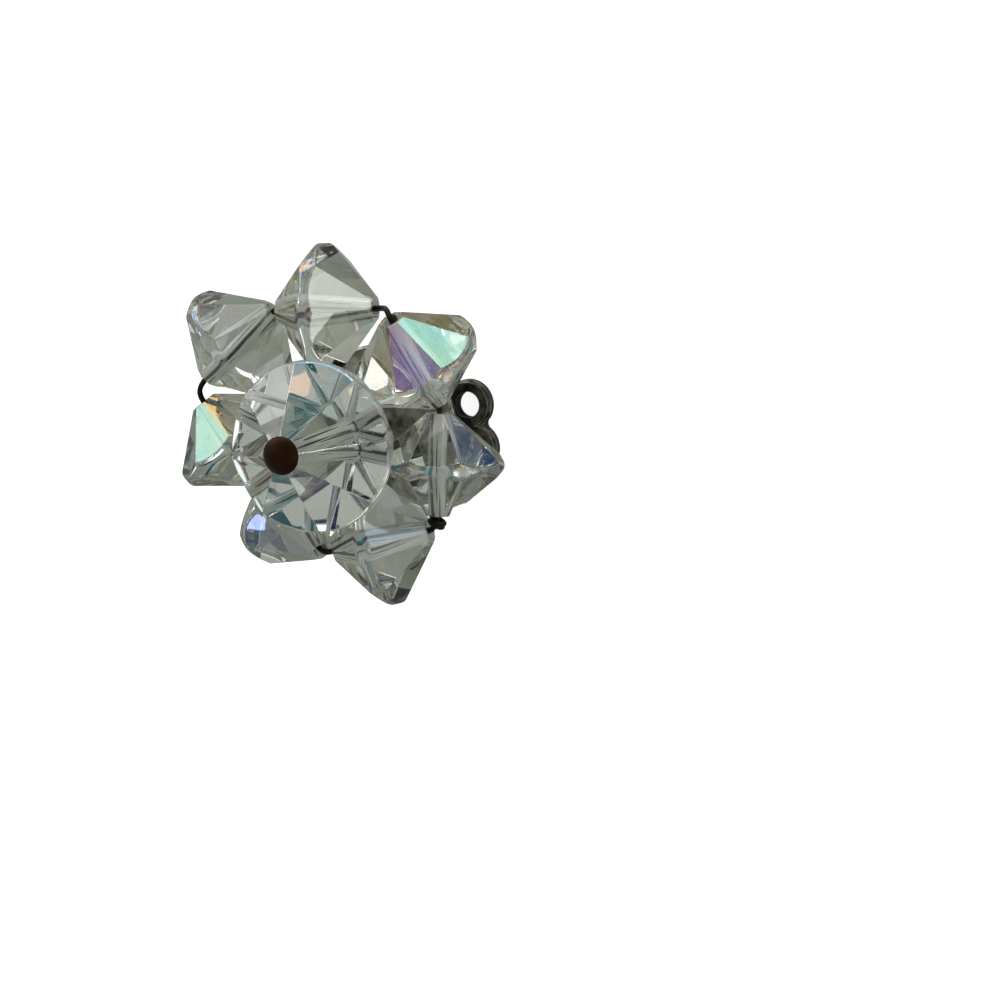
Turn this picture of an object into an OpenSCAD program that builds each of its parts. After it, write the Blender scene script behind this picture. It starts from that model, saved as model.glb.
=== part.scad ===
// Clip-on earring: seven drilled, faceted glass beads on a closed wire ring round a larger centre bead,
// on a small base plate with a hinged clip lever behind it.
// Millimetres. The origin is on the closed lever's flat resting face, straight under the middle of the base plate.
// +Z runs from the lever to the beads and +X towards the lever's lobed end.

/* [Ring beads] */
// Diameter of a ring bead over its girdle
bead_d = 7.8; // [7.6:0.1:7.8]
// Length of a ring bead along its bore
bead_len = 6.1; // [5.9:0.1:6.1]
// Diameter of the bore of every bead
bore_d = 1.1; // [1.05:0.05:1.15]
// Facets round each half of a bead
facets = 8; // [8:2:10]
// Width of the round girdle at the middle of a facet
girdle_w = 0.4; // [0.2:0.1:0.6]
// Distance from the bore's axis to the outer edge of an end flat
end_r = 0.75; // [0.7:0.05:0.8]

/* [Centre bead] */
// Diameter of the centre bead over its girdle
centre_d = 10; // [9.6:0.1:10]
// Length of the centre bead along its bore
centre_len = 7.7; // [7.4:0.1:7.7]
// Height of the centre bead's middle above the ring's plane
centre_rise = 4.85; // [4.8:0.05:5.2]
// Lean of the centre bead and its pin towards +X, in degrees
centre_lean = 5; // [4.5:0.1:5.5]
// Turn of the centre bead's facets round its bore, in degrees
centre_turn = 0; // [0:1:45]

/* [Head pin] */
// Diameter of the pin's shank
pin_d = 0.7; // [0.5:0.05:0.8]
// Diameter of the domed head
pin_head_d = 2.3; // [1.9:0.05:2.35]
// Height of the domed head
pin_head_h = 0.6; // [0.4:0.05:0.8]

/* [Wire] */
// Diameter of the ring wire
wire_d = 0.36; // [0.3:0.02:0.36]

/* [Base plate] */
// Diameter of the base plate
plate_d = 10.2; // [9.6:0.1:10.6]
// Thickness of the base plate
plate_t = 0.5; // [0.4:0.05:0.6]
// Distance from the ring's plane down to the plate's upper face
plate_drop = 5; // [5:0.05:5.2]

/* [Clip] */
// Height of the bead ring's plane above the resting face
ring_z = 7.3; // [7.2:0.05:7.5]
// Thickness of the lever's flat blade
lever_t = 0.6; // [0.5:0.05:0.7]
// Distance of the hinge's axis behind the origin, towards -X
hinge_back = 3.3; // [3:0.1:3.4]
// Height of the hinge's axis above the resting face
hinge_z = 0.85; // [0.8:0.05:0.9]
// Diameter of the hinge pin
hinge_d = 0.7; // [0.6:0.05:0.8]
// Distance of the lobes' centres in front of the origin, towards +X
lobe_x = 5.35; // [5:0.05:5.6]
// Sideways distance of each lobe's centre from the lever's middle line
lobe_y = 1.35; // [1.2:0.05:1.4]
// Outer radius of a lobe
lobe_r = 1.55; // [1.45:0.05:1.6]
// Radius of the hole in a lobe
lobe_hole_r = 0.8; // [0.7:0.05:0.85]
// Sideways place of the lever's middle line
clip_y = -0.7; // [-0.8:0.05:-0.5]

/* [Hidden] */

$fn = 64;
glass_colour = "#a9aca4";
wire_colour = "#1b1a18";
tarnish_colour = "#4a3426";
gunmetal_colour = "#35332f";

// Small gap kept between pieces that sit against each other
seat_gap = 0.06;
// Radial running clearance of the hinge
hinge_play = 0.04;
// Overlap of shapes that are joined into one solid
weld = 0.1;

// Ring beads, clockwise from the upper left: angle round the ring, distance out, height over the ring's plane,
// turn of the bore from the tangent, climb of the bore, turn of the facets
BEADS = [
    [131.8, 8.45, 0.55, -8, 5, 0],
    [85.5, 7.65, 0.4, -2, 8, 0],
    [34.4, 7, 0.12, -27.4, 32, 3],
    [-21.6, 6.2, -0.95, 12.6, -2, 0],
    [-75.5, 6.65, -0.25, -9, -10, 0],
    [-132, 6.1, -0.75, -8, 24, 0],
    [176.5, 7.85, -0.6, 30.5, -16, 16]
];

plate_top = ring_z - plate_drop;
plate_bottom = plate_top - plate_t;
// The centre bead leans about the point where its pin passes the plate
lean_z = ring_z - 4.6;
centre_reach = centre_rise + 4.6;

barrel_r = hinge_d / 2 + 0.4;
barrel_len = 3.4;
ear_t = 0.6;
ear_y = barrel_len / 2 + seat_gap;
cap_t = 0.25;
cap_r = hinge_d / 2 + 0.2;
blade_half_w = barrel_len / 2;

function unit(v) = v / norm(v);
function middle(b) = [b[1] * cos(b[0]), b[1] * sin(b[0]), ring_z + b[2]];
// Direction of a ring bead's bore, clockwise round the ring seen from +Z
function course(b) = [sin(b[0] + b[3]) * cos(b[4]), -cos(b[0] + b[3]) * cos(b[4]), -sin(b[4])];
function bezier(p, q, r, s, t) =
    p * pow(1 - t, 3) + q * 3 * t * pow(1 - t, 2) + r * 3 * t * t * (1 - t) + s * pow(t, 3);

// The wire runs straight inside each bore and curves from one bore into the next
bend_steps = 8;
bend_reach = 0.5;
bend_inset = 0.4;
function bore_exit(b) = middle(b) + course(b) * (bead_len / 2 - bend_inset);
function bore_entry(b) = middle(b) - course(b) * (bead_len / 2 - bend_inset);
function bend(b, c) =
    let (
        p = bore_exit(b),
        s = bore_entry(c),
        handle = norm(s - p) * bend_reach,
        q = p + course(b) * handle,
        r = s - course(c) * handle
    )
    [for (i = [0 : bend_steps]) bezier(p, q, r, s, i / bend_steps)];
function ring_route() = [
    for (i = [0 : len(BEADS) - 1])
        each bend(BEADS[i], BEADS[(i + 1) % len(BEADS)])
];

// The knot is two tight turns of wire round the bend between the fourth and fifth beads
knot_wire_d = 0.3;
knot_coil_r = 0.41;
knot_half_pitch = 0.11;
// Place of the knot along the bend, towards the fourth bead
knot_back = 0.16;
function knot_bend() = bend(BEADS[3], BEADS[4]);
function knot_root() = knot_bend()[bend_steps / 2];
function knot_axis() = unit(knot_bend()[bend_steps / 2 + 1] - knot_bend()[bend_steps / 2 - 1]);

wire_sides = 6;
// Ring of points round one point of a route, set out from the direction in which the route runs there
function wire_section(p, run, away, r) =
    let (u = unit(away - run * (away * run)), v = cross(run, u))
    [for (k = [0 : wire_sides - 1]) p + (u * cos(360 * k / wire_sides) + v * sin(360 * k / wire_sides)) * r];
function side_faces(rings, links) = [
    for (i = [0 : links - 1], k = [0 : wire_sides - 1])
        let (j = (i + 1) % rings, m = (k + 1) % wire_sides)
        [i * wire_sides + k, j * wire_sides + k, j * wire_sides + m, i * wire_sides + m]
];

// Closed wire, with its sections set out from the middle of the ring
module closed_wire(route, r) {
    n = len(route);
    points = [
        for (i = [0 : n - 1])
            let (p = route[i], run = unit(route[(i + 1) % n] - route[(i + n - 1) % n]))
            each wire_section(p, run, [p[0], p[1], 0], r)
    ];
    polyhedron(points = points, faces = side_faces(n, n));
}

// Drilled bead along Z: a cylinder cut by two rows of flat facets that slope from the girdle to the end flats
module bead(d, length) {
    rise = length / 2 - girdle_w / 2;
    run = d / 2 - end_r;
    difference() {
        cylinder(d = d, h = length, center = true);
        for (side = [0, 1], k = [0 : facets - 1])
            mirror([0, 0, side])
                rotate([0, 0, 360 * (k + 0.5) / facets])
                    translate([d / 2, 0, girdle_w / 2])
                        rotate([0, atan2(rise, run), 0])
                            translate([-d, -d, 0])
                                cube([2 * d, 2 * d, d]);
        cylinder(d = bore_d, h = length + 1, center = true);
    }
}

module ring_bead(b) {
    color(glass_colour)
        translate(middle(b))
            rotate([0, 0, b[0] + b[3]])
                rotate([b[4] - 90, 0, 0])
                    rotate([0, 0, b[5]])
                        bead(bead_d, bead_len);
}

module leaning() {
    translate([0, 0, lean_z])
        rotate([0, centre_lean, 0])
            children();
}

module bead_1() ring_bead(BEADS[0]);
module bead_2() ring_bead(BEADS[1]);
module bead_3() ring_bead(BEADS[2]);
module bead_4() ring_bead(BEADS[3]);
module bead_5() ring_bead(BEADS[4]);
module bead_6() ring_bead(BEADS[5]);
module bead_7() ring_bead(BEADS[6]);

module centre_bead() {
    color(glass_colour)
        leaning()
            translate([0, 0, centre_reach])
                rotate([0, 0, centre_turn])
                    bead(centre_d, centre_len);
}

// Straight pin with a domed head on the centre bead and a flattened tail under the base plate
module head_pin() {
    tail_r = 0.65;
    tail_t = 0.35;
    head_z = centre_reach + centre_len / 2 + seat_gap;
    tail_z = plate_bottom - lean_z - 2 * seat_gap - tail_t;
    dome_r = (pow(pin_head_d / 2, 2) + pow(pin_head_h, 2)) / (2 * pin_head_h);
    color(tarnish_colour)
        leaning() {
            translate([0, 0, tail_z])
                cylinder(d = pin_d, h = head_z + weld - tail_z);
            translate([0, 0, tail_z])
                cylinder(r = tail_r, h = tail_t);
            intersection() {
                translate([0, 0, head_z + pin_head_h - dome_r])
                    sphere(r = dome_r);
                translate([0, 0, head_z])
                    cylinder(d = pin_head_d + 1, h = pin_head_h + 1);
            }
        }
}

module ring_wire() {
    color(wire_colour)
        closed_wire(ring_route(), wire_d / 2);
}

module wire_knot() {
    axis = knot_axis();
    color(wire_colour)
        translate(knot_root() - axis * knot_back)
            rotate([0, acos(axis[2]), atan2(axis[1], axis[0])])
                for (side = [-1, 1])
                    translate([0, 0, side * knot_half_pitch])
                        rotate_extrude()
                            translate([knot_coil_r, 0])
                                circle(d = knot_wire_d);
}

// Round plate with a softened rim and a clearance hole for the head pin, and the hinge's two ears soldered under it
module base_plate() {
    plate_r = plate_d / 2;
    edge = 0.12;
    color(gunmetal_colour)
        difference() {
            union() {
                translate([0, 0, plate_bottom])
                    rotate_extrude()
                        polygon([
                            [0, 0],
                            [plate_r - edge, 0],
                            [plate_r, edge],
                            [plate_r, plate_t - edge],
                            [plate_r - edge, plate_t],
                            [0, plate_t]
                        ]);
                for (side = [-1, 1])
                    translate([-hinge_back, clip_y + side * (ear_y + ear_t / 2), 0])
                        hinge_ear();
            }
            translate([0, 0, plate_bottom - 1])
                cylinder(d = pin_d + 0.4, h = plate_t + 2);
            translate([-hinge_back, clip_y, hinge_z])
                rotate([90, 0, 0])
                    cylinder(d = hinge_d + 2 * hinge_play, h = barrel_len + 4 * ear_t, center = true);
        }
}

module hinge_ear() {
    translate([0, 0, hinge_z])
        rotate([90, 0, 0])
            cylinder(r = barrel_r, h = ear_t, center = true);
    translate([-barrel_r, -ear_t / 2, hinge_z])
        cube([2 * barrel_r, ear_t, plate_bottom + weld - hinge_z]);
}

// Pin through both ears and the lever's barrel, with a flat cap outside each ear
module hinge_pin() {
    outer_y = ear_y + ear_t + seat_gap;
    color(gunmetal_colour)
        translate([-hinge_back, clip_y, hinge_z])
            rotate([90, 0, 0]) {
                cylinder(d = hinge_d, h = 2 * outer_y + cap_t, center = true);
                for (side = [0, 1])
                    mirror([0, 0, side])
                        translate([0, 0, outer_y])
                            cylinder(r = cap_r, h = cap_t);
            }
}

// Ring-shaped end of the lever with softened edges, before its hole is cut
module lobe() {
    edge = 0.18;
    lobe_t = lever_t + 0.15;
    rotate_extrude()
        polygon([
            [0, 0],
            [lobe_r - edge, 0],
            [lobe_r, edge],
            [lobe_r, lobe_t - edge],
            [lobe_r - edge, lobe_t],
            [0, lobe_t]
        ]);
}

// Flat blade with two ring-shaped lobes at its free end and a barrel on the hinge pin
module clip_lever() {
    blade_end_w = lobe_y + lobe_r - 0.12;
    blade_flare_x = barrel_r + 0.3 - hinge_back;
    notch_x = lobe_x + 1.1;
    notch_r = 0.4;
    color(gunmetal_colour)
        translate([0, clip_y, 0])
            difference() {
                union() {
                    linear_extrude(lever_t)
                        polygon([
                            [-hinge_back, -blade_half_w],
                            [blade_flare_x, -blade_half_w],
                            [lobe_x - 0.2, -blade_end_w],
                            [lobe_x, -lobe_y],
                            [notch_x, -notch_r],
                            [notch_x, notch_r],
                            [lobe_x, lobe_y],
                            [lobe_x - 0.2, blade_end_w],
                            [blade_flare_x, blade_half_w],
                            [-hinge_back, blade_half_w]
                        ]);
                    for (side = [-1, 1])
                        translate([lobe_x, side * lobe_y, 0])
                            lobe();
                    translate([-hinge_back, 0, hinge_z])
                        rotate([90, 0, 0])
                            cylinder(r = barrel_r, h = barrel_len, center = true);
                }
                for (side = [-1, 1])
                    translate([lobe_x, side * lobe_y, -1])
                        cylinder(r = lobe_hole_r, h = lever_t + 3);
                translate([notch_x + notch_r / 2, 0, -1])
                    cylinder(r = notch_r, h = lever_t + 3);
                translate([-hinge_back, 0, hinge_z])
                    rotate([90, 0, 0])
                        cylinder(d = hinge_d + 2 * hinge_play, h = barrel_len + 1, center = true);
            }
}

bead_1();
bead_2();
bead_3();
bead_4();
bead_5();
bead_6();
bead_7();
centre_bead();
head_pin();
ring_wire();
wire_knot();
base_plate();
hinge_pin();
clip_lever();
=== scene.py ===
"""Clip-on earring of drilled, faceted crystal beads: the looks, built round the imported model."""

import math

import bmesh
import bpy
from mathutils import Matrix, Vector


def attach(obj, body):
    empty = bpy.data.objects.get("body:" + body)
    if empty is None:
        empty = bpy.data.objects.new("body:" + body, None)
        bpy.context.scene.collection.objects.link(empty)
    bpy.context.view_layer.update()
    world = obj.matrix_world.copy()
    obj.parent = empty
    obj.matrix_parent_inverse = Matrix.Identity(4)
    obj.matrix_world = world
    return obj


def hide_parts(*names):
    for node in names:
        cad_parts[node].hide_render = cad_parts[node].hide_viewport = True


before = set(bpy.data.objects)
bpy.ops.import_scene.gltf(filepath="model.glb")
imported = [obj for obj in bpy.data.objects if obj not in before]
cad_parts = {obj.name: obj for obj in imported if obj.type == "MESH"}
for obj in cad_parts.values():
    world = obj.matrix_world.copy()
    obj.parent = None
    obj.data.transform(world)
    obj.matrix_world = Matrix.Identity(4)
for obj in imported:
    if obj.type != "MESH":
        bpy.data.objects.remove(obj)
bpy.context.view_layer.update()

bl_info = {
    "name": "Faceted bead clip-on earring",
    "version": (1, 0, 0),
    "blender": (4, 5, 0),
    "location": "3D View > Sidebar > Earring",
    "description": "Cut crystal beads, wire, pin and clip of a cluster earring, with its studio",
    "category": "Object",
}

MM = 0.001

# Ring beads, clockwise from the upper left, in millimetres and degrees: node, angle round the ring,
# distance out, height over the ring's plane, turn of the bore from the tangent, climb of the bore, turn of
# the facets, and the side that its coat was laid from: angle round the bore, angle towards the bore's end
RING_BEADS = (
    ("bead_1", 131.8, 8.45, 0.55, -8, 5, 0, 90, 30),
    ("bead_2", 85.5, 7.65, 0.4, -2, 8, 0, 270, 25),
    ("bead_3", 34.4, 7, 0.12, -27.4, 32, 3, 63, 65),
    ("bead_4", -21.6, 6.2, -0.95, 12.6, -2, 0, 34, 16),
    ("bead_5", -75.5, 6.65, -0.25, -9, -10, 0, 155, 10),
    ("bead_6", -132, 6.1, -0.75, -8, 24, 0, 341, 7),
    ("bead_7", 176.5, 7.85, -0.6, 30.5, -16, 16, 162.3, -73),
)
RING_Z = 7.3

# The centre bead's pin leans from a point on the earring's middle line: its height, the lean about Y in
# degrees, and the way along the pin to the bead's middle
LEAN_Z = 2.7
CENTRE_LEAN = 5
CENTRE_REACH = 9.45

# A coat is kept on each face as its thickness in nanometres: its layer on the mesh, and the thickness on a
# ring bead where a face looks straight at the coat's source
COAT = "coat_nanometres"
COAT_THICKNESS = 255
# The centre bead's coats: angle round the bore and angle towards the bore's end, in degrees, thickness, and
# focus of the source; the second is a narrow one on the facet towards the window
CENTRE_COATS = ((250, 3, COAT_THICKNESS, 1), (67.5, 49, 165, 20))
COAT_IOR = 2.2
CRYSTAL_IOR = 1.56

# Bead mesh: steps round the blank, and the width in millimetres of the girdle's softened rims
BLANK_STEPS = 96
GIRDLE_RIM = 0.24
# A face is girdle beyond this share of the radius, if its normal's part along the bore is less than this
GIRDLE_BAND = 0.9
GIRDLE_LEAN = 0.55
# A point this near the outline, and a face this near the bore's wall, in millimetres, lies on it
ON_OUTLINE = 0.01
ON_BORE = 0.02
# Points closer than this, in millimetres, are one
WELD = 1e-4
# A facet's edge and a metal edge turn by more than this
FACET_EDGE = math.radians(15)
METAL_EDGE = math.radians(40)

# Softboxes: name, azimuth and elevation in degrees, distance, width and height in metres, and brightness
SOFTBOXES = (
    ("window", 100.5, 5.4, 0.40, 0.82, 0.216, 1.65),
    ("room", -5, 3.5, 0.40, 0.67, 0.12, 0.95),
    ("skylight", 91, 53, 0.40, 0.08, 0.08, 0.6),
    ("sparkle_left", 150, 40, 0.45, 0.04, 0.04, 12.0),
    ("sparkle_right", -20, 35, 0.45, 0.04, 0.04, 12.0),
    ("sparkle_front", -119, 25, 0.45, 0.006, 0.006, 6.0),
)
# Watts that a square metre of a softbox gives at a brightness of 1
FACE_POWER = 4

# The paper's reach, and the way over it in which the glass sees it get lighter: painted window light in the
# paper's colour
FLOOR_RADIUS = 65 * MM
WINDOW_WAY = (0.5, 0.866, 0)


class CrystalSettings(bpy.types.PropertyGroup):
    """Sizes and colours of the cut crystal beads"""

    ring_bead_diameter: bpy.props.FloatProperty(
        name="Ring bead", description="Diameter of a ring bead", default=7.8 * MM,
        unit="LENGTH", precision=4)
    ring_bead_length: bpy.props.FloatProperty(
        name="Ring bead length", description="Length along the bore", default=6.1 * MM,
        unit="LENGTH", precision=4)
    centre_bead_diameter: bpy.props.FloatProperty(
        name="Centre bead", description="Diameter of the centre bead", default=10 * MM,
        unit="LENGTH", precision=4)
    centre_bead_length: bpy.props.FloatProperty(
        name="Centre bead length", description="Length along the bore", default=7.7 * MM,
        unit="LENGTH", precision=4)
    bore_diameter: bpy.props.FloatProperty(
        name="Bore", description="Diameter of the drilled bore", default=1.1 * MM,
        unit="LENGTH", precision=4)
    girdle_width: bpy.props.FloatProperty(
        name="Girdle", description="Width of the round girdle at a facet", default=0.4 * MM,
        unit="LENGTH", precision=4)
    end_radius: bpy.props.FloatProperty(
        name="End flat", description="Reach of the end flat", default=0.75 * MM,
        unit="LENGTH", precision=4)
    facets: bpy.props.IntProperty(
        name="Facets", description="Facets round each half of a bead", default=8, min=4, max=16)
    polish_round: bpy.props.FloatProperty(
        name="Edge rounding", description="Width of a facet edge rounded by polishing", default=0.035 * MM,
        unit="LENGTH", precision=5)
    glass_colour: bpy.props.StringProperty(
        name="Glass", description="Colour of the crystal, as sRGB hex", default="#F2F3EE")


class MetalSettings(bpy.types.PropertyGroup):
    """Wear and colours of the wire, pin and clip"""

    edge_wear: bpy.props.FloatProperty(
        name="Worn edge", description="Width of a rubbed metal edge", default=0.12 * MM,
        unit="LENGTH", precision=5)
    gunmetal_colour: bpy.props.StringProperty(
        name="Gunmetal", description="Colour of the dark plating, as sRGB hex", default="#66635C")
    rubbed_colour: bpy.props.StringProperty(
        name="Rubbed metal", description="Colour where the plating is rubbed, as sRGB hex",
        default="#EDEAE2")
    tarnish_colour: bpy.props.StringProperty(
        name="Tarnish", description="Colour of the pin's tarnish, as sRGB hex", default="#3C2010")


class StageSettings(bpy.types.PropertyGroup):
    """Camera and surroundings"""

    camera_azimuth: bpy.props.FloatProperty(
        name="Azimuth", description="Camera's way round the earring", default=math.radians(103.78),
        subtype="ANGLE")
    camera_elevation: bpy.props.FloatProperty(
        name="Elevation", description="Camera's height angle", default=math.radians(62.95),
        subtype="ANGLE")
    camera_roll: bpy.props.FloatProperty(
        name="Roll", description="Camera's turn about its line of sight", default=math.radians(110.42),
        subtype="ANGLE")
    camera_distance: bpy.props.FloatProperty(
        name="Distance", description="Camera to aim point", default=116.1 * MM,
        unit="LENGTH", precision=4)
    camera_aim: bpy.props.FloatVectorProperty(
        name="Aim point", description="Point at the picture's middle",
        default=(9.9 * MM, -4.6 * MM, 7.3 * MM), unit="LENGTH", precision=4)
    lens: bpy.props.FloatProperty(
        name="Lens", description="Focal length in millimetres", default=72.36, min=10.0)


def linear(hex_colour):
    """Linear RGBA of an sRGB hex colour"""
    parts = [int(hex_colour[i:i + 2], 16) / 255 for i in (1, 3, 5)]
    return tuple(c / 12.92 if c <= 0.04045 else ((c + 0.055) / 1.055) ** 2.4 for c in parts) + (1.0,)


def add_node(tree, kind, settings=None, inputs=None):
    """Adds a node, sets its settings, and sets or links its inputs"""
    node = tree.nodes.new(kind)
    for name, value in (settings or {}).items():
        setattr(node, name, value)
    for socket, value in (inputs or {}).items():
        if isinstance(value, bpy.types.NodeSocket):
            tree.links.new(value, node.inputs[socket])
        else:
            node.inputs[socket].default_value = value
    return node


def new_material(name):
    """Empty node material and its tree"""
    material = bpy.data.materials.new(name)
    material.use_nodes = True
    material.node_tree.nodes.clear()
    return material, material.node_tree


def surface(tree, shader):
    """Links a shader to the material's output"""
    add_node(tree, "ShaderNodeOutputMaterial", inputs={"Surface": shader.outputs[0]})


def cut_crystal(settings):
    """Cut lead crystal with a coat laid from one side as vapour: clear, bright at every facet edge, and
    facets that mirror the window go gold, mint, blue and violet as the coat gets thinner round the bead"""
    material, tree = new_material("cut_crystal_iridescent")
    place = add_node(tree, "ShaderNodeTexCoord").outputs["Object"]
    laid = add_node(tree, "ShaderNodeAttribute", {"attribute_name": COAT}).outputs["Fac"]
    drift = add_node(tree, "ShaderNodeTexNoise", inputs={
        "Vector": place, "Scale": 1 / (4 * MM), "Detail": 1.0})
    uneven = add_node(tree, "ShaderNodeMapRange", inputs={
        "Value": drift.outputs["Fac"], "From Min": 0.3, "From Max": 0.7, "To Min": 0.97, "To Max": 1.03})
    coat = add_node(tree, "ShaderNodeMath", {"operation": "MULTIPLY"}, {
        0: laid, 1: uneven.outputs["Result"]})
    # Pits are a few hundredths of a millimetre on the real bead, and drawn coarser here so that they show
    pits = add_node(tree, "ShaderNodeTexNoise", inputs={
        "Vector": place, "Scale": 1 / (0.16 * MM), "Detail": 2.0})
    worn = add_node(tree, "ShaderNodeMapRange", inputs={
        "Value": pits.outputs["Fac"], "From Min": 0.67, "From Max": 0.75, "To Min": 0.0, "To Max": 0.35})
    polish = add_node(tree, "ShaderNodeTexNoise", inputs={
        "Vector": place, "Scale": 1 / (1.6 * MM), "Detail": 2.0})
    bump = add_node(tree, "ShaderNodeBump", inputs={
        "Strength": 0.07, "Distance": 0.02 * MM, "Height": polish.outputs["Fac"]})
    glass = add_node(tree, "ShaderNodeBsdfPrincipled", inputs={
        "Base Color": linear(settings.glass_colour),
        "Roughness": worn.outputs["Result"],
        "IOR": CRYSTAL_IOR,
        "Transmission Weight": 1.0,
        "Thin Film Thickness": coat.outputs["Value"],
        "Thin Film IOR": COAT_IOR,
        "Normal": bump.outputs["Normal"],
    })
    surface(tree, glass)
    return material


def worn_girdle(settings):
    """The crystal's rounded girdle, hazed where beads rub together, with an uneven coat that flashes cyan
    and lilac"""
    material, tree = new_material("worn_crystal_girdle")
    place = add_node(tree, "ShaderNodeTexCoord").outputs["Object"]
    rubbed = add_node(tree, "ShaderNodeTexNoise", inputs={
        "Vector": place, "Scale": 1 / (0.5 * MM), "Detail": 3.0})
    haze = add_node(tree, "ShaderNodeMapRange", inputs={
        "Value": rubbed.outputs["Fac"], "From Min": 0.35, "From Max": 0.65, "To Min": 0.04, "To Max": 0.22})
    coat = add_node(tree, "ShaderNodeMapRange", inputs={
        "Value": rubbed.outputs["Fac"], "From Min": 0.4, "From Max": 0.6, "To Min": 165.0, "To Max": 45.0})
    glass = add_node(tree, "ShaderNodeBsdfPrincipled", inputs={
        "Base Color": linear(settings.glass_colour),
        "Roughness": haze.outputs["Result"],
        "IOR": CRYSTAL_IOR,
        "Transmission Weight": 1.0,
        "Thin Film Thickness": coat.outputs["Result"],
        "Thin Film IOR": COAT_IOR,
    })
    surface(tree, glass)
    return material


def ground_bore():
    """Bore wall as the drill leaves it: finely ground glass with lengthwise scratches, silvery where light
    meets it"""
    material, tree = new_material("ground_bore_wall")
    place = add_node(tree, "ShaderNodeTexCoord").outputs["Object"]
    # Scratches are a few hundredths of a millimetre apart on the real bore, and drawn coarser here so that
    # they show
    stretched = add_node(tree, "ShaderNodeMapping", inputs={
        "Vector": place, "Scale": (1 / (0.26 * MM), 1 / (0.26 * MM), 1 / (9 * MM))})
    scratch = add_node(tree, "ShaderNodeTexNoise", inputs={
        "Vector": stretched.outputs["Vector"], "Scale": 1.0, "Detail": 1.0})
    tone = add_node(tree, "ShaderNodeValToRGB", inputs={"Fac": scratch.outputs["Fac"]})
    tone.color_ramp.elements[0].position = 0.42
    tone.color_ramp.elements[0].color = linear("#20211F")
    tone.color_ramp.elements[1].position = 0.435
    tone.color_ramp.elements[1].color = linear("#FCFDFB")
    clear = add_node(tree, "ShaderNodeBsdfPrincipled", inputs={
        "Base Color": linear("#FFFFFF"), "Roughness": 0.06, "IOR": CRYSTAL_IOR, "Transmission Weight": 1.0})
    ground = add_node(tree, "ShaderNodeBsdfPrincipled", inputs={
        "Base Color": tone.outputs["Color"], "Roughness": 0.5})
    mixed = add_node(tree, "ShaderNodeMixShader", inputs={
        0: 0.75, 1: clear.outputs["BSDF"], 2: ground.outputs["BSDF"]})
    surface(tree, mixed)
    return material


def rubbed_gunmetal(settings):
    """Edges where the dark plating is rubbed off in patches and the pale metal under it shines"""
    material, tree = new_material("gunmetal_rubbed_edge")
    place = add_node(tree, "ShaderNodeTexCoord").outputs["Object"]
    patch = add_node(tree, "ShaderNodeTexNoise", inputs={
        "Vector": place, "Scale": 1 / (0.45 * MM), "Detail": 4.0})
    worn = add_node(tree, "ShaderNodeMapRange", inputs={
        "Value": patch.outputs["Fac"], "From Min": 0.38, "From Max": 0.56})
    colour = add_node(tree, "ShaderNodeMix", {"data_type": "RGBA"}, {
        "Factor": worn.outputs["Result"],
        "A": linear(settings.gunmetal_colour),
        "B": linear(settings.rubbed_colour),
    })
    metal = add_node(tree, "ShaderNodeBsdfPrincipled", inputs={
        "Base Color": colour.outputs["Result"], "Metallic": 0.75, "Roughness": 0.3})
    surface(tree, metal)
    return material


def gunmetal_plating(name, dark, light):
    """Dark gunmetal plating over brass: nearly black, half glossy, blotched by handling, and greyer on the
    plate, where the beads have rubbed it"""
    material, tree = new_material(name)
    place = add_node(tree, "ShaderNodeTexCoord").outputs["Object"]
    blotch = add_node(tree, "ShaderNodeTexNoise", inputs={
        "Vector": place, "Scale": 1 / (0.7 * MM), "Detail": 5.0})
    handled = add_node(tree, "ShaderNodeMapRange", inputs={
        "Value": blotch.outputs["Fac"], "From Min": 0.38, "From Max": 0.62})
    colour = add_node(tree, "ShaderNodeMix", {"data_type": "RGBA"}, {
        "Factor": handled.outputs["Result"],
        "A": linear(dark),
        "B": linear(light),
    })
    gloss = add_node(tree, "ShaderNodeMapRange", inputs={
        "Value": blotch.outputs["Fac"], "To Min": 0.22, "To Max": 0.5})
    bump = add_node(tree, "ShaderNodeBump", inputs={
        "Strength": 0.5, "Distance": 0.03 * MM, "Height": blotch.outputs["Fac"]})
    metal = add_node(tree, "ShaderNodeBsdfPrincipled", inputs={
        "Base Color": colour.outputs["Result"],
        "Metallic": 0.85,
        "Roughness": gloss.outputs["Result"],
        "Normal": bump.outputs["Normal"],
    })
    surface(tree, metal)
    return material


def blackened_wire():
    """Iron wire with a black oxide skin: dark, with a dull streak of light along it"""
    material, tree = new_material("blackened_iron_wire")
    place = add_node(tree, "ShaderNodeTexCoord").outputs["Object"]
    scale = add_node(tree, "ShaderNodeTexNoise", inputs={
        "Vector": place, "Scale": 1 / (0.3 * MM), "Detail": 3.0})
    colour = add_node(tree, "ShaderNodeMix", {"data_type": "RGBA"}, {
        "Factor": scale.outputs["Fac"], "A": linear("#0B0A0A"), "B": linear("#24221F")})
    gloss = add_node(tree, "ShaderNodeMapRange", inputs={
        "Value": scale.outputs["Fac"], "To Min": 0.25, "To Max": 0.45})
    metal = add_node(tree, "ShaderNodeBsdfPrincipled", inputs={
        "Base Color": colour.outputs["Result"], "Metallic": 0.8, "Roughness": gloss.outputs["Result"]})
    surface(tree, metal)
    return material


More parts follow.
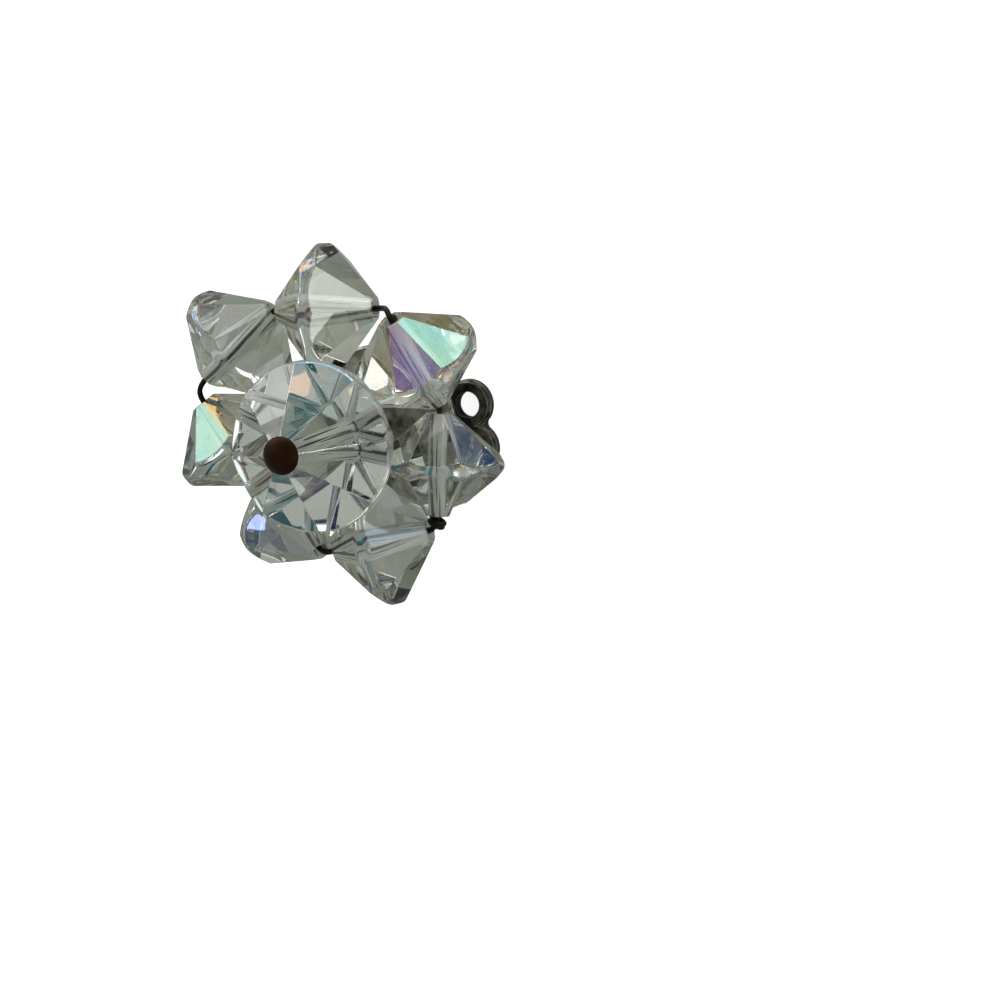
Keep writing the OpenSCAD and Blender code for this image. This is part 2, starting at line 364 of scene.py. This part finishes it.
def tarnished_copper(settings):
    """Copper pin with a brown-black tarnish, a little redder where it is thin"""
    material, tree = new_material("tarnished_copper")
    place = add_node(tree, "ShaderNodeTexCoord").outputs["Object"]
    patch = add_node(tree, "ShaderNodeTexNoise", inputs={
        "Vector": place, "Scale": 1 / (0.5 * MM), "Detail": 4.0})
    colour = add_node(tree, "ShaderNodeMix", {"data_type": "RGBA"}, {
        "Factor": patch.outputs["Fac"], "A": linear("#100803"), "B": linear(settings.tarnish_colour)})
    bump = add_node(tree, "ShaderNodeBump", inputs={
        "Strength": 0.3, "Distance": 0.02 * MM, "Height": patch.outputs["Fac"]})
    metal = add_node(tree, "ShaderNodeBsdfPrincipled", inputs={
        "Base Color": colour.outputs["Result"], "Metallic": 0.9, "Roughness": 0.42,
        "Normal": bump.outputs["Normal"]})
    surface(tree, metal)
    return material


def mesh_object(name, bm, materials):
    """Object made from a bmesh in millimetres"""
    bmesh.ops.scale(bm, vec=(MM, MM, MM), verts=bm.verts)
    mesh = bpy.data.meshes.new(name)
    bm.to_mesh(mesh)
    bm.free()
    for material in materials:
        mesh.materials.append(material)
    piece = bpy.data.objects.new(name, mesh)
    bpy.context.scene.collection.objects.link(piece)
    return piece


def lathe(bm, profile, steps):
    """Closed profile of (radius, height) points turned round Z"""
    rings = []
    for radius, height in profile:
        turn = [math.tau * i / steps for i in range(steps)]
        rings.append([bm.verts.new((radius * math.cos(a), radius * math.sin(a), height)) for a in turn])
    for ring, following in zip(rings, rings[1:] + rings[:1]):
        for i in range(steps):
            j = (i + 1) % steps
            bm.faces.new((ring[i], ring[j], following[j], following[i]))


def cut_facets(bm, radius, half, girdle, end, facets):
    """Cuts both halves of a round blank with flat facets, from the girdle to the end flat"""
    slope = Vector((half - girdle, radius - end)).normalized()
    for side in (1, -1):
        for k in range(facets):
            angle = math.tau * (k + 0.5) / facets
            across = Vector((math.cos(angle), math.sin(angle), 0))
            up = Vector((0, 0, side))
            cut = bmesh.ops.bisect_plane(
                bm, geom=bm.verts[:] + bm.edges[:] + bm.faces[:], dist=1e-5, clear_outer=True,
                plane_co=across * radius + up * girdle, plane_no=across * slope.x + up * slope.y)
            rim = [e for e in cut["geom_cut"] if isinstance(e, bmesh.types.BMEdge)]
            bmesh.ops.contextual_create(bm, geom=rim)
    bmesh.ops.remove_doubles(bm, verts=bm.verts, dist=WELD)
    bmesh.ops.recalc_face_normals(bm, faces=bm.faces)
    bm.normal_update()


def polish_edges(bm, radius, width):
    """Rounds the girdle's two rims, and then every facet edge by a finer width"""
    girdle_edges = [e for e in bm.edges if sum(abs(f.normal.z) < 0.01 for f in e.link_faces) == 1
                    and all(math.hypot(v.co.x, v.co.y) > radius - ON_OUTLINE for v in e.verts)]
    bmesh.ops.bevel(bm, geom=girdle_edges, offset=GIRDLE_RIM, segments=5, profile=0.5, affect="EDGES",
                    clamp_overlap=True)
    bm.normal_update()
    sharp = [e for e in bm.edges if len(e.link_faces) == 2 and e.calc_face_angle() > FACET_EDGE]
    bmesh.ops.bevel(bm, geom=sharp, offset=width, segments=2, profile=0.5, affect="EDGES",
                    clamp_overlap=True)
    bm.normal_update()


def lay_coat(bm, coats):
    """Stores the coat's thickness on each face, thickest where the face looks at a coat's source"""
    sources = []
    for turn, tilt, thickness, focus in coats:
        turn, tilt = math.radians(turn), math.radians(tilt)
        across = math.cos(tilt)
        way = Vector((math.cos(turn) * across, math.sin(turn) * across, math.sin(tilt)))
        sources.append((way, thickness, focus))
    layer = bm.faces.layers.float.new(COAT)
    for face in bm.faces:
        face[layer] = max(
            thickness * max(0.0, face.normal.dot(way)) ** focus for way, thickness, focus in sources)


def faceted_bead(name, diameter, length, settings, materials, coats):
    """Drilled bead along Z: a short tube cut by two rows of facets, its edges rounded by polishing"""
    radius, half = diameter / MM / 2, length / MM / 2
    bore = settings.bore_diameter / MM / 2
    bm = bmesh.new()
    lathe(bm, [(radius, -half), (radius, half), (bore, half), (bore, -half)], BLANK_STEPS)
    cut_facets(bm, radius, half, settings.girdle_width / MM / 2, settings.end_radius / MM, settings.facets)
    polish_edges(bm, radius, settings.polish_round / MM)
    for face in bm.faces:
        middle = face.calc_center_median()
        out = math.hypot(middle.x, middle.y)
        on_bore = out < bore + ON_BORE
        on_girdle = abs(face.normal.z) < GIRDLE_LEAN and out > GIRDLE_BAND * radius
        face.material_index = 1 if on_bore else 2 if on_girdle else 0
        face.smooth = on_bore or on_girdle
    lay_coat(bm, coats)
    return mesh_object(name, bm, materials)


def ring_bead_place(row):
    """Matrix that carries a bead along Z to its place in the ring"""
    name, angle, out, height, turn, climb, roll = row[:7]
    a = math.radians(angle)
    middle = Vector((out * math.cos(a), out * math.sin(a), RING_Z + height)) * MM
    return (Matrix.Translation(middle)
            @ Matrix.Rotation(math.radians(angle + turn), 4, "Z")
            @ Matrix.Rotation(math.radians(climb - 90), 4, "X")
            @ Matrix.Rotation(math.radians(roll), 4, "Z"))


def bead_materials(settings):
    """The three finishes of a bead, made once"""
    crystal = bpy.data.materials.get("cut_crystal_iridescent") or cut_crystal(settings)
    bore = bpy.data.materials.get("ground_bore_wall") or ground_bore()
    girdle = bpy.data.materials.get("worn_crystal_girdle") or worn_girdle(settings)
    return [crystal, bore, girdle]


class EARRING_OT_ring_beads(bpy.types.Operator):
    """Cut the seven ring beads and set them in the ring"""

    bl_idname = "earring.ring_beads"
    bl_label = "Ring beads"

    def execute(self, context):
        settings = context.scene.earring_crystal
        materials = bead_materials(settings)
        for row in RING_BEADS:
            node = row[0]
            piece = faceted_bead(
                "crystal_" + node, settings.ring_bead_diameter, settings.ring_bead_length, settings,
                materials, [(*row[7:], COAT_THICKNESS, 1)])
            piece.matrix_world = ring_bead_place(row)
            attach(piece, "cluster")
            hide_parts(node)
        return {"FINISHED"}


class EARRING_OT_centre_bead(bpy.types.Operator):
    """Cut the centre bead and set it on its leaning pin"""

    bl_idname = "earring.centre_bead"
    bl_label = "Centre bead"

    def execute(self, context):
        settings = context.scene.earring_crystal
        piece = faceted_bead(
            "crystal_centre_bead", settings.centre_bead_diameter, settings.centre_bead_length, settings,
            bead_materials(settings), CENTRE_COATS)
        piece.matrix_world = (
            Matrix.Translation((0, 0, LEAN_Z * MM))
            @ Matrix.Rotation(math.radians(CENTRE_LEAN), 4, "Y")
            @ Matrix.Translation((0, 0, CENTRE_REACH * MM)))
        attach(piece, "cluster")
        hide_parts("centre_bead")
        return {"FINISHED"}


def rounded_copy(node, name, materials, width):
    """Copy of a CAD piece with smooth walls and rounded edges, the edges in the last material"""
    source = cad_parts[node]
    bm = bmesh.new()
    bm.from_mesh(source.data)
    bmesh.ops.scale(bm, vec=(1 / MM, 1 / MM, 1 / MM), verts=bm.verts)
    bmesh.ops.remove_doubles(bm, verts=bm.verts, dist=WELD)
    bmesh.ops.dissolve_limit(bm, angle_limit=math.radians(1), verts=bm.verts, edges=bm.edges)
    sharp = [e for e in bm.edges if len(e.link_faces) == 2 and e.calc_face_angle() > METAL_EDGE]
    for face in bm.faces:
        face.material_index = 0
    bmesh.ops.bevel(bm, geom=sharp, offset=width / MM, segments=3, profile=0.5, affect="EDGES",
                    clamp_overlap=True, material=len(materials) - 1)
    for face in bm.faces:
        face.smooth = True
    piece = mesh_object(name, bm, materials)
    piece.data.set_sharp_from_angle(angle=math.radians(35))
    piece.matrix_world = source.matrix_world.copy()
    return piece


class EARRING_OT_metal(bpy.types.Operator):
    """Give the wire, the pin, the plate and the clip their metals"""

    bl_idname = "earring.metal"
    bl_label = "Metal parts"

    def execute(self, context):
        settings = context.scene.earring_metal
        rubbed = rubbed_gunmetal(settings)
        gunmetal = [gunmetal_plating("gunmetal_plating", "#24221F", settings.gunmetal_colour), rubbed]
        dulled = [gunmetal_plating("gunmetal_plating_dulled", settings.gunmetal_colour, "#A8A498"), rubbed]
        wire = [blackened_wire()]
        pin = [tarnished_copper(settings)]
        metals = (
            ("base_plate", "cluster", dulled, "gunmetal", settings.edge_wear),
            ("hinge_pin", "cluster", gunmetal, "gunmetal", settings.edge_wear),
            ("clip_lever", "clip_lever", gunmetal, "gunmetal", settings.edge_wear),
            ("head_pin", "cluster", pin, "pin_copper", settings.edge_wear),
            ("ring_wire", "cluster", wire, "wire_black", 0.0),
            ("wire_knot", "cluster", wire, "wire_black", 0.0),
        )
        for node, body, materials, slot, width in metals:
            piece = rounded_copy(node, "metal_" + node, materials, width)
            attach(piece, body)
            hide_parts(node)
        return {"FINISHED"}


def paper_floor():
    """White paper, which the camera sees as the photograph's clean background, and the glass as grey paper
    in a dim room,
    with painted window light: its colour gets lighter towards the window"""
    material, tree = new_material("white_paper_floor")
    seen = add_node(tree, "ShaderNodeLightPath").outputs["Is Camera Ray"]
    place = add_node(tree, "ShaderNodeTexCoord").outputs["Object"]
    window_way = add_node(tree, "ShaderNodeVectorMath", {"operation": "DOT_PRODUCT"}, {
        0: place, 1: WINDOW_WAY})
    # Painted window light: the paper's colour gets lighter over 12 mm towards the window
    painted_window_light_mask = add_node(tree, "ShaderNodeMapRange", inputs={
        "Value": window_way.outputs["Value"], "From Min": 0.0, "From Max": 12 * MM})
    paper_tone_and_painted_window_light = add_node(tree, "ShaderNodeMix", {"data_type": "RGBA"}, {
        "Factor": painted_window_light_mask.outputs["Result"], "A": linear("#BCBEB4"), "B": linear("#EEF0EA")})
    tone = add_node(tree, "ShaderNodeMix", {"data_type": "RGBA"}, {
        "Factor": seen, "A": paper_tone_and_painted_window_light.outputs["Result"], "B": linear("#F2F2F2")})
    glow = add_node(tree, "ShaderNodeMath", {"operation": "MULTIPLY"}, {0: seen, 1: 0.85})
    paper = add_node(tree, "ShaderNodeBsdfPrincipled", inputs={
        "Base Color": tone.outputs["Result"], "Roughness": 0.9, "Emission Color": (1, 1, 1, 1),
        "Emission Strength": glow.outputs["Value"]})
    surface(tree, paper)
    return material


def studio_world():
    """White to the camera, and to the glass a dim room that gets lighter towards the ceiling"""
    world = bpy.data.worlds.new("studio")
    world.use_nodes = True
    tree = world.node_tree
    tree.nodes.clear()
    way = add_node(tree, "ShaderNodeTexCoord").outputs["Generated"]
    height = add_node(tree, "ShaderNodeSeparateXYZ", inputs={"Vector": way}).outputs["Z"]
    room = add_node(tree, "ShaderNodeMapRange", inputs={
        "Value": height, "From Min": 0.0, "From Max": 1.0, "To Min": 0.33, "To Max": 0.47})
    ambient = add_node(tree, "ShaderNodeBackground", inputs={
        "Color": linear("#F8FFF6"), "Strength": room.outputs["Result"]})
    sweep = add_node(tree, "ShaderNodeBackground", inputs={"Color": (1, 1, 1, 1), "Strength": 1.0})
    seen = add_node(tree, "ShaderNodeLightPath").outputs["Is Camera Ray"]
    mixed = add_node(tree, "ShaderNodeMixShader", inputs={
        0: seen, 1: ambient.outputs["Background"], 2: sweep.outputs["Background"]})
    add_node(tree, "ShaderNodeOutputWorld", inputs={"Surface": mixed.outputs["Shader"]})
    return world


def softbox(name, azimuth, elevation, distance, width, height, brightness):
    """Rectangular softbox that looks at the earring; its power follows from the brightness of its face"""
    light = bpy.data.lights.new(name, "AREA")
    light.shape = "RECTANGLE"
    light.size = width
    light.size_y = height
    light.energy = FACE_POWER * width * height * brightness
    lamp = bpy.data.objects.new(name, light)
    bpy.context.scene.collection.objects.link(lamp)
    a, e = math.radians(azimuth), math.radians(elevation)
    way = Vector((math.cos(a) * math.cos(e), math.sin(a) * math.cos(e), math.sin(e)))
    turn = way.to_track_quat("Z", "Y").to_matrix().to_4x4()
    lamp.matrix_world = Matrix.Translation(way * distance) @ turn
    lamp.visible_camera = False


def photo_camera(settings):
    """Camera at the photograph's angle to the earring"""
    camera = bpy.data.objects.new("camera", bpy.data.cameras.new("camera"))
    bpy.context.scene.collection.objects.link(camera)
    camera.data.lens = settings.lens
    camera.data.sensor_width = 36
    camera.data.clip_start = 1 * MM
    camera.data.clip_end = 10
    a, e = settings.camera_azimuth, settings.camera_elevation
    back = Vector((math.sin(a) * math.cos(e), -math.cos(a) * math.cos(e), math.sin(e)))
    turn = (-back).to_track_quat("-Z", "Y").to_matrix().to_4x4()
    roll = Matrix.Rotation(-settings.camera_roll, 4, "Z")
    aim = Vector(settings.camera_aim)
    camera.matrix_world = Matrix.Translation(aim + back * settings.camera_distance) @ turn @ roll
    return camera


class EARRING_OT_stage(bpy.types.Operator):
    """Lay the pale floor, light the studio and set the camera"""

    bl_idname = "earring.stage"
    bl_label = "Studio"

    def execute(self, context):
        scene = context.scene
        scene.view_settings.view_transform = "Standard"
        bpy.ops.mesh.primitive_circle_add(
            vertices=96, radius=FLOOR_RADIUS, fill_type="NGON", location=(0, 0, 0))
        floor = context.object
        floor.name = "floor"
        floor.data.materials.append(paper_floor())
        scene.world = studio_world()
        for row in SOFTBOXES:
            softbox(*row)
        scene.camera = photo_camera(scene.earring_stage)
        return {"FINISHED"}


class EARRING_PT_panel(bpy.types.Panel):
    """The earring's settings and steps"""

    bl_idname = "EARRING_PT_panel"
    bl_label = "Earring"
    bl_space_type = "VIEW_3D"
    bl_region_type = "UI"
    bl_category = "Earring"

    def draw(self, context):
        scene = context.scene
        for group in (scene.earring_crystal, scene.earring_metal, scene.earring_stage):
            box = self.layout.box()
            for name in group.__annotations__:
                box.prop(group, name)
        for step in STEPS:
            self.layout.operator(step.bl_idname)


GROUPS = {
    "earring_crystal": CrystalSettings,
    "earring_metal": MetalSettings,
    "earring_stage": StageSettings,
}
STEPS = (EARRING_OT_ring_beads, EARRING_OT_centre_bead, EARRING_OT_metal, EARRING_OT_stage)


def register():
    """Make the settings, the steps and the panel known"""
    for cls in (*GROUPS.values(), *STEPS, EARRING_PT_panel):
        bpy.utils.register_class(cls)
    for name, cls in GROUPS.items():
        setattr(bpy.types.Scene, name, bpy.props.PointerProperty(type=cls))


def unregister():
    """Take the settings, the steps and the panel away"""
    for name in GROUPS:
        delattr(bpy.types.Scene, name)
    for cls in (EARRING_PT_panel, *reversed(STEPS), *reversed(GROUPS.values())):
        bpy.utils.unregister_class(cls)


def main():
    """Build the earring and its studio"""
    register()
    bpy.ops.earring.ring_beads()
    bpy.ops.earring.centre_bead()
    bpy.ops.earring.metal()
    bpy.ops.earring.stage()


if __name__ == "__main__":
    main()
